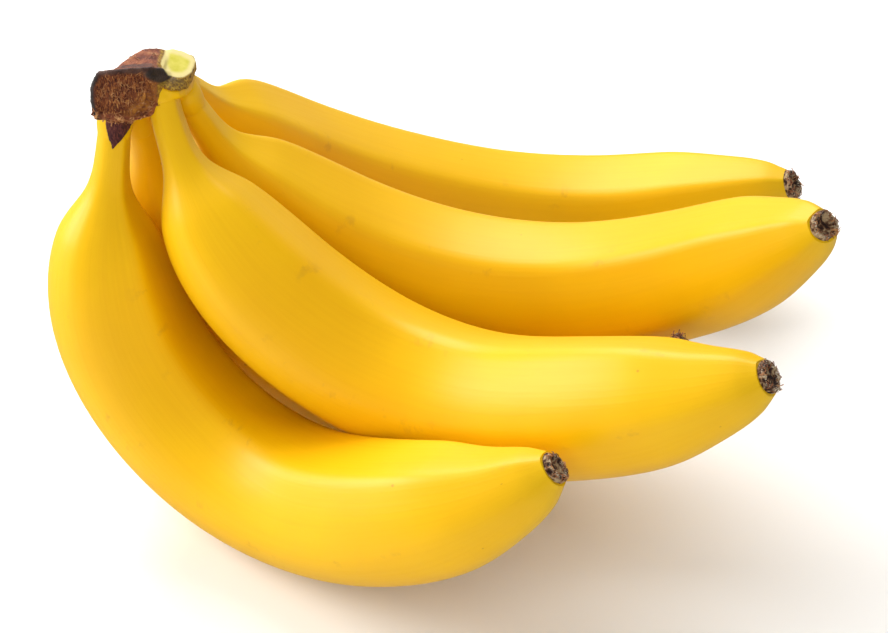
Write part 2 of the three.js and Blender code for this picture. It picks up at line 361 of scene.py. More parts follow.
for label, kind in {"turn": "FLOAT", "share": "FLOAT", "strength": "FLOAT", "station": "FLOAT",
                    "centre": "FLOAT_VECTOR", "inward": "FLOAT_VECTOR",
                    "across": "FLOAT_VECTOR"}.items():
    read[label] = add_node(tree, "GeometryNodeInputNamedAttribute", {"Name": label},
                           data_type=kind).outputs[0]
cosine = calc(tree, "COSINE", read["turn"])
sine = calc(tree, "SINE", read["turn"])
from_ridge = calc(tree, "SUBTRACT", read["turn"], given["Twist"])
wave = calc(tree, "COSINE", calc(tree, "MULTIPLY", from_ridge, RIDGE_COUNT))
peak = calc(tree, "POWER", calc(tree, "MULTIPLY_ADD", wave, 0.5, 0.5), SHARPNESS)
sharper = calc(tree, "MULTIPLY", calc(tree, "SUBTRACT", peak, CREST_MEAN), given["Crest"])
swell = calc(tree, "ADD", calc(tree, "MULTIPLY", wave, given["Ridge"]), sharper)
from_boldest = calc(tree, "COSINE", calc(tree, "SUBTRACT", read["turn"], given["Boldest"]))
bold = calc(tree, "MULTIPLY_ADD", from_boldest, given["Uneven"], BOLD_MEAN)
prominence = calc(tree, "MULTIPLY", read["strength"], bold)
factor = calc(tree, "MULTIPLY_ADD", swell, prominence, 1.0)
radius = calc(tree, "MULTIPLY", calc(tree, "MULTIPLY", given["Girth"], read["share"]), factor)
inside, beside = (
    add_node(tree, "ShaderNodeVectorMath", {
        0: read[direction], "Scale": calc(tree, "MULTIPLY", radius, part)},
        operation="SCALE").outputs[0]
    for direction, part in (("inward", cosine), ("across", sine)))
outward = add_node(tree, "ShaderNodeVectorMath", {0: inside, 1: beside}, operation="SUBTRACT")
spot = add_node(tree, "ShaderNodeVectorMath", {0: read["centre"], 1: outward.outputs[0]},
                operation="ADD")
shaped = add_node(tree, "GeometryNodeSetPosition", {
    "Geometry": tube.outputs[0], "Position": spot.outputs[0]})
flat_place = add_node(tree, "ShaderNodeCombineXYZ", {
    0: calc(tree, "MULTIPLY", given["Girth"], cosine),
    1: calc(tree, "MULTIPLY", given["Girth"], sine),
    2: calc(tree, "MULTIPLY", read["station"], given["Length"])})
with_place = add_node(tree, "GeometryNodeStoreNamedAttribute", {
    "Geometry": shaped.outputs[0], "Name": "skin_place", "Value": flat_place.outputs[0]},
    data_type="FLOAT_VECTOR")
with_crest = add_node(tree, "GeometryNodeStoreNamedAttribute", {
    "Geometry": with_place.outputs[0], "Name": "crest", "Value": peak})
smooth = add_node(tree, "GeometryNodeSetShadeSmooth", {"Geometry": with_crest.outputs[0]})
real = add_node(tree, "GeometryNodeRealizeInstances", {"Geometry": smooth.outputs[0]})
coated = add_node(tree, "GeometryNodeSetMaterial", {
    "Geometry": real.outputs[0], "Material": given["Skin"]})
add_node(tree, "NodeGroupOutput", {0: coated.outputs[0]})
sweep = tree
print("the sweep has", len(sweep.nodes), "nodes")

# %% Grow the five bananas
RINGS = 150
SIDES = 80
RIDGE = 0.022        # height of the ridges, as a share of the radius
CREST = 0.040        # how much sharper than a wave they stand
UNEVEN = 0.85        # how much bolder the ridges of the inner side are
BOLDEST = -45        # where the boldest ones lie, in degrees from the inner side
STRENGTH_AT = [0, 0.12, 0.3, 0.6, 0.85, 1]
STRENGTH = [0.7, 1.2, 1.0, 0.85, 1.1, 0.8]
ENDS_AT = [0, 0.1, 0.22, 0.86, 0.96, 1]
ENDS = [0.5, 0.3, 0.0, 0.0, 0.35, 0.7]


def mesh_volume(mesh):
    mesh.calc_loop_triangles()
    points = np.array([v.co for v in mesh.vertices])
    corners = points[np.array([t.vertices for t in mesh.loop_triangles])]
    return float(np.einsum("ij,ij->i", corners[:, 0],
                           np.cross(corners[:, 1], corners[:, 2])).sum() / 6)


bananas = {}
for name, (_, length, girth, *_, twist) in FINGERS.items():
    t = np.linspace(0, 1, RINGS)
    s = t - 0.5 * np.sin(2 * np.pi * t) / (2 * np.pi)
    rows = [np.stack([np.interp(s * SPINE_STEPS, np.arange(SPINE_STEPS + 1), part[:, k])
                      for k in range(3)], -1) for part in LINES[name]]
    centre = placed(rows[0])
    path = mesh_object(name + "_path", centre, [(i, i + 1) for i in range(RINGS - 1)])
    set_attribute(path.data, "centre", centre, "FLOAT_VECTOR")
    set_attribute(path.data, "inward", rows[2] @ ROLL.T, "FLOAT_VECTOR")
    set_attribute(path.data, "across", rows[3] @ ROLL.T, "FLOAT_VECTOR")
    set_attribute(path.data, "share", through(WIDTH_AT, WIDTH, s))
    set_attribute(path.data, "station", s)
    set_attribute(path.data, "strength", np.interp(s, STRENGTH_AT, STRENGTH))
    set_attribute(path.data, "ends", np.interp(s, ENDS_AT, ENDS))
    piece = grown(path, sweep, {
        "Girth": girth * MM, "Length": length * MM, "Ridge": RIDGE, "Crest": CREST,
        "Twist": math.radians(twist), "Uneven": UNEVEN, "Boldest": math.radians(BOLDEST),
        "Sides": SIDES, "Skin": skin}, name + "_skin")
    bpy.data.objects.remove(path)
    if mesh_volume(piece.data) < 0:
        piece.data.flip_normals()
    bananas[name] = piece
    print(name, len(piece.data.polygons), "faces,", round(mesh_volume(piece.data) * 1e6, 1), "cm3")
for name, piece in bananas.items():
    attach(piece, "root")
    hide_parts(name)

# %% [markdown]
# ## The crown
# The crown is the cushion of stem that the bananas grew from. Its end was torn
# from the next hand and has dried brown, with a rough, fibrous face inside a
# nearly black edge of skin. A knife left a small fresh cut behind it. Below, its
# yellow skin runs down into the necks. Such a lump has no simple rule, so hulls
# of a few points are laid over each other, fused by a voxel remesh, and then the
# points are moved by noise. Its own directions are right, up along the rough
# face, and out of that face.

# %% The crown's directions and outlines, in millimetres
FACE_TILT = math.radians(40)
CROWN_MIDDLE = np.array([-66.0, -44.0, 103.0])
CROWN_AXES = np.array([(1, 0, 0), (0, math.sin(FACE_TILT), math.cos(FACE_TILT)),
                       (0, -math.cos(FACE_TILT), math.sin(FACE_TILT))])
FACE_RIM = [(-8.6, 2.2, 1.5), (-5.5, 2.5, 2.2), (-2.1, 2.7, 2.2), (0.5, 2.7, 1.6), (3.2, 3.3, 0.5),
            (4.9, 3.0, -1.5), (6.0, 1.6, -3.0), (5.0, -0.1, -3.6), (4.3, -2.1, -4.0),
            (4.3, -4.0, -4.3), (3.0, -5.1, -3.4), (1.0, -7.3, -2.4), (-1.7, -8.3, -1.4),
            (-4.7, -8.1, -0.7), (-7.2, -7.7, -0.4), (-9.2, -8.0, -0.8), (-9.9, -6.5, -0.5),
            (-10.3, -3.8, -0.2), (-10.3, -1.1, 0.3), (-9.6, 0.6, 0.9)]
TOP_EDGE = [(-5.2, 3.0, -1.0), (-4.0, 3.6, -2.5), (-2.6, 4.9, -4.5), (-1.6, 5.8, -6.0),
            (-1.2, 6.5, -6.5), (-0.7, 7.3, -7.5), (0.4, 7.9, -8.5), (1.6, 8.2, -9.5),
            (3.2, 7.9, -10.5), (4.5, 7.6, -11.5), (5.9, 7.8, -12.5)]
KNIFE_CUT = [(4.8, 7.9, -11.0), (6.3, 8.3, -12.0), (8.4, 7.8, -13.0), (10.7, 6.7, -13.5),
             (11.5, 5.5, -11.5), (11.0, 3.0, -8.2), (9.4, 1.5, -5.6), (7.6, 1.4, -4.4),
             (5.9, 1.7, -4.2), (4.3, 4.2, -6.6), (4.6, 6.1, -8.6)]
CUT_LOW = [(4.1, -0.4, -2.2), (5.1, -1.2, -1.6), (6.6, -1.7, -1.8), (8.5, -1.8, -3.2),
           (9.9, -1.1, -5.8), (10.9, 0.6, -9.0), (11.4, 3.4, -13.0), (9.7, 5.8, -16.0),
           (7.0, 6.7, -16.5), (4.6, 6.1, -14.0)]
DOWN = np.array([0, -math.cos(FACE_TILT), -math.sin(FACE_TILT)])


def from_crown(points):
    """Right, up and out of the crown's face to millimetres in the hand's frame."""
    return CROWN_MIDDLE + np.asarray(points, float) @ CROWN_AXES


def shrunk(points, share, move=(0, 0, 0)):
    points = np.asarray(points, float)
    middle = points.mean(0)
    return middle + (points - middle) * share + np.asarray(move, float)


print("the rough face is", round(np.ptp([p[0] for p in FACE_RIM]), 1), "mm wide")

# %% Hulls, tubes and the fused lump
def add_hull(bm, points):
    """Add the convex hull of some points, in the crown's directions."""
    made = [bm.verts.new(tuple(p)) for p in from_crown(points)]
    bmesh.ops.convex_hull(bm, input=made)
    inner = [v for v in made if not v.link_faces]
    bmesh.ops.delete(bm, geom=inner, context="VERTS")


def add_tube(bm, rings):
    """Add a closed tube through rings of points in the hand's frame."""
    rows = [[bm.verts.new(tuple(p)) for p in ring] for ring in rings]
    count = len(rows[0])
    for low_row, high_row in zip(rows, rows[1:]):
        for k in range(count):
            following = (k + 1) % count
            bm.faces.new((low_row[k], low_row[following], high_row[following], high_row[k]))
    bm.faces.new(rows[0][::-1])
    bm.faces.new(rows[-1])


def neck_rings(name, profile, count=40):
    """Rings round a banana's neck: (millimetres along it, millimetres out of its skin)."""
    angle = np.linspace(0, 2 * np.pi, count, endpoint=False)
    points, along, _, _ = LINES[name]
    rings = []
    for reach, out in profile:
        s = np.full(count, max(reach, 0) / FINGERS[name][1])
        rings.append(skin_points(name, s, angle, out) + along[0] * min(reach, 0))
    return rings


def fused(name, bm, voxel, passes):
    """Fuse what the bmesh holds into one even skin and smooth it."""
    bmesh.ops.recalc_face_normals(bm, faces=bm.faces)
    raw = mesh_object(name + "_raw", [])
    bm.to_mesh(raw.data)
    bm.free()
    remesh = raw.modifiers.new("fuse", "REMESH")
    remesh.mode = "VOXEL"
    remesh.voxel_size = voxel
    relax = raw.modifiers.new("relax", "SMOOTH")
    relax.factor = 0.5
    relax.iterations = passes
    mesh = bpy.data.meshes.new_from_object(raw.evaluated_get(bpy.context.evaluated_depsgraph_get()))
    bpy.data.objects.remove(raw)
    made = bpy.data.objects.new(name, mesh)
    bpy.context.scene.collection.objects.link(made)
    return made


def mesh_arrays(mesh):
    points = np.empty(len(mesh.vertices) * 3, np.float32)
    normals = np.empty(len(mesh.vertices) * 3, np.float32)
    mesh.vertices.foreach_get("co", points)
    mesh.vertices.foreach_get("normal", normals)
    return points.reshape(-1, 3).astype(float), normals.reshape(-1, 3).astype(float)


def noise_at(points, size, seed=0.0, octaves=3, ridged=False):
    """Fractal noise from -1 to 1 whose largest lumps are size millimetres."""
    total = np.zeros(len(points))
    weight, norm = 1.0, 0.0
    scaled = np.asarray(points) / size + seed * 17.3
    for _ in range(octaves):
        layer = np.array([noise.noise(Vector(p)) for p in scaled])
        total += weight * (1 - 2 * np.abs(layer) if ridged else layer)
        norm += weight
        weight *= 0.5
        scaled = scaled * 2.1 + 5.7
    return total / norm


def smooth_step(low_edge, high_edge, value):
    t = np.clip((value - low_edge) / (high_edge - low_edge), 0, 1)
    return t * t * (3 - 2 * t)


def inside_outline(points, outline):
    """Distance inside a flat outline in millimetres, negative outside it."""
    outline = np.asarray(outline, float)
    nearest = np.full(len(points), 1e9)
    crossings = np.zeros(len(points), int)
    for a, b in zip(outline, np.roll(outline, -1, 0)):
        edge = b - a
        t = np.clip(((points - a) @ edge) / (edge @ edge), 0, 1)
        nearest = np.minimum(nearest, np.linalg.norm(points - a - t[:, None] * edge, axis=1))
        if a[1] != b[1]:
            at = a[0] + (points[:, 1] - a[1]) / (b[1] - a[1]) * edge[0]
            hit = ((a[1] > points[:, 1]) != (b[1] > points[:, 1])) & (points[:, 0] < at)
            crossings += hit
    return np.where(crossings % 2 == 1, nearest, -nearest)


print("noise at the crown is", noise_at([CROWN_MIDDLE], 3.0).round(3))

# %% Fuse the dried crown
cut_root = shrunk(CUT_LOW, 0.92, DOWN * 2.4)
face_back = shrunk(FACE_RIM, 0.72, (5.5, 0.6, -9.5))
bm = bmesh.new()
add_hull(bm, list(FACE_RIM) + list(face_back))
add_hull(bm, list(TOP_EDGE) + list(np.array(TOP_EDGE) + DOWN * 5)
         + list(np.array(FACE_RIM[1:6]) + (0, -0.3, -0.6)))
add_hull(bm, list(KNIFE_CUT) + list(CUT_LOW))
add_hull(bm, list(shrunk(CUT_LOW, 0.8)) + list(shrunk(face_back, 0.8)))
TONGUE_AT = [0, 0.35, 0.65, 0.85, 1]   # down the tongue
TONGUE_WIDE = [50, 42, 24, 9, 2]       # half its width, in degrees round the neck
TONGUE_LONG = 8.3
_, _, inward, across = LINES["front_banana"]
tongue_rings = []
for t in np.linspace(-0.1, 1, 26):
    tongue_side = CROWN_AXES[2] + (0.5 - 0.4 * max(t, 0)) * CROWN_AXES[0]
    tongue_turn = math.atan2(-across[4] @ tongue_side, inward[4] @ tongue_side)
    half = math.radians(float(through(TONGUE_AT, TONGUE_WIDE, max(t, 0))))
    turns = tongue_turn + np.linspace(-half, half, 17)
    s = np.full(17, max(t, 0) * TONGUE_LONG / LENGTH)
    shift = LINES["front_banana"][1][0] * min(t, 0) * TONGUE_LONG
    outer = skin_points("front_banana", s, turns, 0.75 - 0.35 * max(t, 0))
    inner = skin_points("front_banana", s, turns, -0.8)[::-1]
    tongue_rings.append(np.vstack([outer, inner]) + shift)
add_tube(bm, tongue_rings)
crown = fused("crown_wood", bm, 0.26, 4)
print("crown wood has", len(crown.data.polygons), "faces")

# %% [markdown]
# ## Skin under the crown
# The yellow skin of each neck swells a little where it runs into the crown. One
# hull through the four necks behind the front one makes the palm of the hand,
# and small hulls between two necks make the webs of skin.

# %% Fuse the skin that joins the necks
bm = bmesh.new()
# millimetres along the neck, and millimetres out of its skin
NECK_SKIN = {
    "front_banana": [(1, -1.5), (2, 0.2), (4, 0.3), (6, 0.05), (8, -0.6)],
    "second_banana": [(-2, -2), (-1, -0.3), (1, 0.2), (2.6, 0.3), (3.4, 0.1), (4.2, -0.6)],
    "third_banana": [(-1, -2), (0, 0.2), (2, 0.55), (4, 0.4), (6, 0.0), (7, -0.6)],
    "rear_banana": [(-1, -2), (0, 0.0), (3, 0.4), (6, 0.1), (9, -0.6)],
    "lower_banana": [(-1, -1.5), (0, 0.5), (4, 0.4), (8, 0.0), (10, -0.6)],
}
for name, profile in NECK_SKIN.items():
    add_tube(bm, neck_rings(name, profile))
add_hull(bm, list(shrunk(CUT_LOW, 0.88, DOWN * 0.5)) + list(cut_root))
add_hull(bm, list(shrunk(cut_root, 0.8)) + list(shrunk(face_back, 0.85, DOWN * 1.5)))
# two necks, and how far the web between them reaches along them, in millimetres
WEBS = [("front_banana", "lower_banana", 2.5), ("front_banana", "second_banana", 1.0),
        ("second_banana", "third_banana", 2.0), ("third_banana", "rear_banana", 4.0),
        ("lower_banana", "third_banana", 2.0), ("lower_banana", "rear_banana", 2.0),
        ("second_banana", "rear_banana", 1.0)]
palm = [ring for name in ("second_banana", "third_banana", "rear_banana", "lower_banana")
        for ring in neck_rings(name, [(-0.5, -0.6), (1.5, -0.8)], 16)]
add_hull(bm, (np.vstack(palm) - CROWN_MIDDLE) @ CROWN_AXES.T)
for one, other, reach in WEBS:
    web = [ring for name in (one, other)
           for ring in neck_rings(name, [(0, -0.5), (reach, -0.7)], 16)]
    add_hull(bm, (np.vstack(web) - CROWN_MIDDLE) @ CROWN_AXES.T)
crown_skin = fused("crown_skin", bm, 0.32, 6)
print("its skin has", len(crown_skin.data.polygons), "faces")

# %% [markdown]
# Each point of the dried crown is sorted by where it lies: on the torn face, in
# its dark edge, on the knife cut, or under the cut. These shares are kept as
# attributes for the material, and they also say how deep the relief is.

# %% Sort the crown's points and give them relief
SWIRL = (-3.2, -2.7)          # middle of the torn face's grain
DARK_LOBE = (3.9, 1.7)        # fold of black skin at its upper right
points, normals = mesh_arrays(crown.data)
local = (points - CROWN_MIDDLE) @ CROWN_AXES.T
facing = normals @ CROWN_AXES.T
rim = np.array(FACE_RIM)
plane = np.linalg.lstsq(np.c_[rim[:, :2], np.ones(len(rim))], rim[:, 2], rcond=None)[0]
depth = local[:, 2] - (local[:, :2] @ plane[:2] + plane[2])
margin = inside_outline(local[:, :2], rim[:, :2])
near_face = smooth_step(-2.2, -1.2, depth) * smooth_step(0.3, 0.6, facing[:, 2])
grain_far = np.hypot(local[:, 0] - SWIRL[0], (local[:, 1] - SWIRL[1]) * 1.2)
drift = noise_at(points, 5.0, 1)
torn = near_face * smooth_step(0.5, 1.2, margin + 0.5 * drift)
lobe = np.hypot((local[:, 0] - DARK_LOBE[0]) / 2.9, (local[:, 1] - DARK_LOBE[1]) / 1.7)
lobe_share = smooth_step(1.15, 0.75, lobe + 0.25 * drift) * smooth_step(-0.2, 0.3, facing[:, 2])
torn = torn * (1 - lobe_share)
left_edge = smooth_step(-7.6, -9.2, local[:, 0] + 0.8 * drift) * (1 - torn)
top_band = near_face * smooth_step(1.5, 0.6, margin) * smooth_step(-1, 1.5, local[:, 1])
dark = np.clip(np.maximum.reduce([lobe_share, left_edge, top_band * 0.8]), 0, 1)
cut = np.array(KNIFE_CUT)
cut_plane = np.linalg.lstsq(np.c_[cut[:, :2], np.ones(len(cut))], cut[:, 2], rcond=None)[0]
cut_depth = local[:, 2] - (local[:, :2] @ cut_plane[:2] + cut_plane[2])
cut_margin = inside_outline(local[:, :2], cut[:, :2])
behind = smooth_step(3.3, 4.3, local[:, 0]) * smooth_step(-1.6, -2.2, local[:, 2])
fresh = smooth_step(-0.15, 0.15, cut_margin + 0.15 * noise_at(points, 1.5, 4)) \
    * smooth_step(-1.0, -0.5, cut_depth) * behind
under_cut = smooth_step(2.9, 3.9, local[:, 0]) * behind * (1 - fresh) \
    * smooth_step(-0.2, 0.3, facing[:, 2] + facing[:, 0])
tongue = smooth_step(-8.0, -9.0, local[:, 1])
lumps = noise_at(points, 3.2, 2)
creases = noise_at(points, 1.6, 3, ridged=True)
grain_rings = np.sin(2 * np.pi * (grain_far + 0.9 * lumps) / 1.15)
relief = 0.30 * lumps + 0.16 * creases
relief = relief * (1 - 0.85 * fresh) * (1 - 0.6 * dark) - 0.75 * smooth_step(0.6, 1.8, margin) * torn
relief += 0.13 * grain_rings * torn + 0.25 * dark
moved = points + normals * relief[:, None]
crown.data.vertices.foreach_set("co", placed(moved).astype(np.float32).ravel())
for label, values in {
        "torn": torn, "dark": dark, "fresh": fresh, "under_cut": under_cut, "tongue": tongue,
        "cut_edge": smooth_step(1.6, 0.7, cut_margin),
        # height of the relief; the material paints shade into its low creases from it
        "height": np.clip(0.5 + 0.6 * lumps + 0.5 * creases, 0, 1), "grain": grain_far,
        "ochre": smooth_step(0.2, 1.6, (local[:, 0] - local[:, 1]) * 0.28 + drift - 0.3)}.items():
    set_attribute(crown.data, label, values)
fibre = torn * smooth_step(0.9, 1.6, margin) + 0.2 * smooth_step(0.2, 0.6, facing[:, 1]) \
    * (1 - fresh) * (1 - dark) * (1 - under_cut) * (1 - torn)
flake = near_face * smooth_step(1.0, 0.2, np.abs(margin - 0.2)) * smooth_step(-3.5, -6.0, local[:, 1])
set_attribute(crown.data, "fibre", np.clip(fibre, 0, 1))
set_attribute(crown.data, "flake", flake)
points, normals = mesh_arrays(crown_skin.data)
soft = noise_at(points, 6.0, 5)
crown_skin.data.vertices.foreach_set(
    "co", placed(points + normals * (0.18 * soft)[:, None]).astype(np.float32).ravel())
print("torn face", int((torn > 0.5).sum()), "points, knife cut", int((fresh > 0.5).sum()))

# %% [markdown]
# ## Dried stem
# Cut stem dries to a brittle, fibrous brown wood: reddish on top, ochre and
# maroon in the torn grain, nearly black where skin has dried over the edge. The
# knife cut is still moist, yellow-green with a cream border. Painted shade
# darkens the low creases of its relief.

# %% Make the dried crown's material
wood, tree = new_material("dried_banana_stem")
here = add_node(tree, "ShaderNodeTexCoord").outputs["Object"]
mask = {label: add_node(tree, "ShaderNodeAttribute", attribute_name=label).outputs["Fac"]
        for label in ("torn", "dark", "fresh", "under_cut", "tongue", "cut_edge", "height",
                      "grain", "ochre")}
blotch = add_node(tree, "ShaderNodeTexNoise", {
    "Vector": here, "Scale": 420.0, "Detail": 4.0, "Roughness": 0.6}).outputs["Fac"]
fine = add_node(tree, "ShaderNodeTexNoise", {
    "Vector": here, "Scale": 1500.0, "Detail": 3.0, "Roughness": 0.7}).outputs["Fac"]
threads = add_node(tree, "ShaderNodeTexNoise", {
    "Vector": add_node(tree, "ShaderNodeMapping", {
        "Vector": here, "Rotation": (0.5, 0.3, 0.7), "Scale": (3200, 700, 700)}).outputs[0],
    "Scale": 1.0, "Detail": 3.0, "Distortion": 1.2}).outputs["Fac"]
top_brown = add_node(tree, "ShaderNodeValToRGB", {"Fac": blotch}, stops=[
    (0.3, "#4C2219"), (0.48, "#7C3F26"), (0.62, "#975934"), (0.75, "#BB8A5E")]).outputs[0]
torn_red = add_node(tree, "ShaderNodeValToRGB", {"Fac": threads}, stops=[
    (0.3, "#2C0F08"), (0.45, "#5C2A16"), (0.58, "#8E5026"), (0.7, "#C08A4C")]).outputs[0]
torn_ochre = add_node(tree, "ShaderNodeValToRGB", {"Fac": blotch}, stops=[
    (0.3, "#5A2414"), (0.45, "#8E5420"), (0.6, "#B5762C"), (0.8, "#C99048")]).outputs[0]
specks = add_node(tree, "ShaderNodeValToRGB", {"Fac": fine}, stops=[
    (0.35, "#5A3C14"), (0.5, "#94701F"), (0.65, "#BD972F")]).outputs[0]
tongue_red = add_node(tree, "ShaderNodeValToRGB", {"Fac": threads}, stops=[
    (0.35, "#2E1014"), (0.55, "#4E2020"), (0.75, "#7C4434")]).outputs[0]
black = add_node(tree, "ShaderNodeValToRGB", {"Fac": blotch}, stops=[
    (0.35, "#1E1614"), (0.6, "#3B302C"), (0.8, "#5A4A42")]).outputs[0]
flesh = add_node(tree, "ShaderNodeValToRGB", {"Fac": blotch}, stops=[
    (0.3, "#BDB42A"), (0.7, "#CFC350")]).outputs[0]


def layered(below, above, share):
    """Lay one colour over another by a share from 0 to 1."""
    return add_node(tree, "ShaderNodeMix", {0: share, 6: below, 7: above},
                    data_type="RGBA").outputs[2]


colour = layered(top_brown, layered(torn_red, torn_ochre, mask["ochre"]), mask["torn"])
colour = layered(colour, tongue_red, mask["tongue"])
colour = layered(colour, specks, mask["under_cut"])
colour = layered(colour, black, mask["dark"])
# painted shade: where the relief's height is low, in creases and hollows, the colour is darkened towards
# #2A120D
painted_crease_shade = add_node(tree, "ShaderNodeMapRange", {
    "Value": mask["height"], "From Min": 0.15, "From Max": 0.5, "To Min": 0.75, "To Max": 0.0})
colour = layered(colour, linear("#2A120D"), painted_crease_shade.outputs[0])
colour = layered(colour, layered(flesh, linear("#DCCB86"), mask["cut_edge"]), mask["fresh"])
relief_node = add_node(tree, "ShaderNodeBump", {
    "Height": calc(tree, "ADD", threads, blotch),
    "Strength": add_node(tree, "ShaderNodeMapRange", {
        "Value": mask["fresh"], "To Min": 0.9, "To Max": 0.12}).outputs[0],
    "Distance": 0.3 * MM})
shine = add_node(tree, "ShaderNodeBsdfPrincipled", {
    "Base Color": colour, "IOR": 1.45, "Normal": relief_node.outputs[0],
    "Roughness": add_node(tree, "ShaderNodeMapRange", {
        "Value": mask["dark"], "To Min": 0.72, "To Max": 0.5}).outputs[0]})
add_node(tree, "ShaderNodeOutputMaterial", {"Surface": shine.outputs[0]})
crown.data.materials.append(wood)
crown_skin.data.materials.append(skin)
print("wood material has", len(tree.nodes), "nodes")

# %% Give the crown's skin the attributes that the skin material reads
points, _ = mesh_arrays(crown_skin.data)
set_attribute(crown_skin.data, "skin_place", points, "FLOAT_VECTOR")
set_attribute(crown_skin.data, "ends", np.full(len(points), 0.5))
set_attribute(crown_skin.data, "crest", np.zeros(len(points)))
for piece in (crown, crown_skin):
    piece.data.shade_smooth()
print("the crown's skin has", len(points), "points")

# %% [markdown]
# ## Loose fibres
# Torn, dried plant tissue ends in hundreds of curled fibres and flakes. They
# repeat, so Geometry Nodes scatter one bent strand over the surface, thicker
# where an attribute asks for it, each with its own turn and size.

# %% Build the scatter of strands
tree, given = new_geometry_tree("loose_strands", {
    "Density": "Float", "Long": "Float", "Thick": "Float", "Lift": "Float", "Tilt": "Float",
    "Seed": "Int", "Where": "String", "Finish": "Material"})
wanted = add_node(tree, "GeometryNodeInputNamedAttribute", {"Name": given["Where"]})
spots = add_node(tree, "GeometryNodeDistributePointsOnFaces", {
    "Mesh": given["Geometry"], "Seed": given["Seed"],
    "Density": calc(tree, "MULTIPLY", wanted.outputs[0], given["Density"])})
half = calc(tree, "MULTIPLY", given["Long"], 0.5)
start = add_node(tree, "ShaderNodeCombineXYZ", {0: calc(tree, "MULTIPLY", half, -1.0)})
bend = add_node(tree, "ShaderNodeCombineXYZ", {
    1: calc(tree, "MULTIPLY", half, 0.7), 2: given["Lift"]})
stop = add_node(tree, "ShaderNodeCombineXYZ", {0: half})
strand = add_node(tree, "GeometryNodeCurveQuadraticBezier", {
    "Resolution": 6, "Start": start.outputs[0], "Middle": bend.outputs[0], "End": stop.outputs[0]})
section = add_node(tree, "GeometryNodeCurvePrimitiveCircle", {
    "Resolution": 5, "Radius": given["Thick"]})
body = add_node(tree, "GeometryNodeCurveToMesh", {
    "Curve": strand.outputs[0], "Profile Curve": section.outputs[0], "Fill Caps": True})
spin = add_node(tree, "FunctionNodeRandomValue", {
    0: (0, 0, 0), 1: (0, 0, 6.283), "Seed": given["Seed"]}, data_type="FLOAT_VECTOR")
spin_angle = add_node(tree, "FunctionNodeEulerToRotation", {0: spin.outputs[0]})
lean_range = add_node(tree, "ShaderNodeCombineXYZ", {0: given["Tilt"], 1: given["Tilt"]})
lean_low = add_node(tree, "ShaderNodeVectorMath", {0: lean_range.outputs[0], "Scale": -1.0},
                    operation="SCALE")
lean_by = add_node(tree, "FunctionNodeRandomValue", {
    0: lean_low.outputs[0], 1: lean_range.outputs[0], "Seed": 7}, data_type="FLOAT_VECTOR")
lean_angle = add_node(tree, "FunctionNodeEulerToRotation", {0: lean_by.outputs[0]})
stand = add_node(tree, "FunctionNodeRotateRotation", {
    0: spots.outputs["Rotation"], 1: spin_angle.outputs[0]}, rotation_space="LOCAL")
stand = add_node(tree, "FunctionNodeRotateRotation", {
    0: stand.outputs[0], 1: lean_angle.outputs[0]}, rotation_space="LOCAL")
sizes = add_node(tree, "FunctionNodeRandomValue", {
    2: 0.45, 3: 1.35, "Seed": 11}, data_type="FLOAT")
laid = add_node(tree, "GeometryNodeInstanceOnPoints", {
    "Points": spots.outputs["Points"], "Instance": body.outputs[0],
    "Rotation": stand.outputs[0], "Scale": sizes.outputs[1]})
real = add_node(tree, "GeometryNodeRealizeInstances", {"Geometry": laid.outputs[0]})
smooth = add_node(tree, "GeometryNodeSetShadeSmooth", {"Geometry": real.outputs[0]})
coated = add_node(tree, "GeometryNodeSetMaterial", {
    "Geometry": smooth.outputs[0], "Material": given["Finish"]})
add_node(tree, "NodeGroupOutput", {0: coated.outputs[0]})
strands = tree
print("the scatter has", len(strands.nodes), "nodes")

# %% Strand material and the crown's strands
straw, tree = new_material("dried_plant_fibre")
here = add_node(tree, "ShaderNodeTexCoord").outputs["Object"]
shade = add_node(tree, "ShaderNodeTexNoise", {"Vector": here, "Scale": 700.0, "Detail": 2.0})
tan = add_node(tree, "ShaderNodeValToRGB", {"Fac": shade.outputs["Fac"]}, stops=[
    (0.35, "#5E2E18"), (0.5, "#8E5630"), (0.7, "#C08C58")])
dull = add_node(tree, "ShaderNodeBsdfPrincipled", {"Base Color": tan.outputs[0], "Roughness": 0.65})
add_node(tree, "ShaderNodeOutputMaterial", {"Surface": dull.outputs[0]})
crown_fibres = grown(crown, strands, {
    "Density": 1.3e6, "Long": 2.2 * MM, "Thick": 0.055 * MM, "Lift": 0.12 * MM, "Tilt": 0.08,
    "Seed": 3, "Where": "fibre", "Finish": straw}, "crown_fibres")
crown_flakes = grown(crown, strands, {
    "Density": 6.0e6, "Long": 1.1 * MM, "Thick": 0.13 * MM, "Lift": 0.35 * MM, "Tilt": 0.9,
    "Seed": 8, "Where": "flake", "Finish": straw}, "crown_flakes")
for piece, slot in ((crown, "dried_crown"), (crown_skin, "banana_skin"),
                    (crown_fibres, "dried_crown"), (crown_flakes, "dried_crown")):
    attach(piece, "root")
    print(piece.name, len(piece.data.polygons), "faces")
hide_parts("crown")
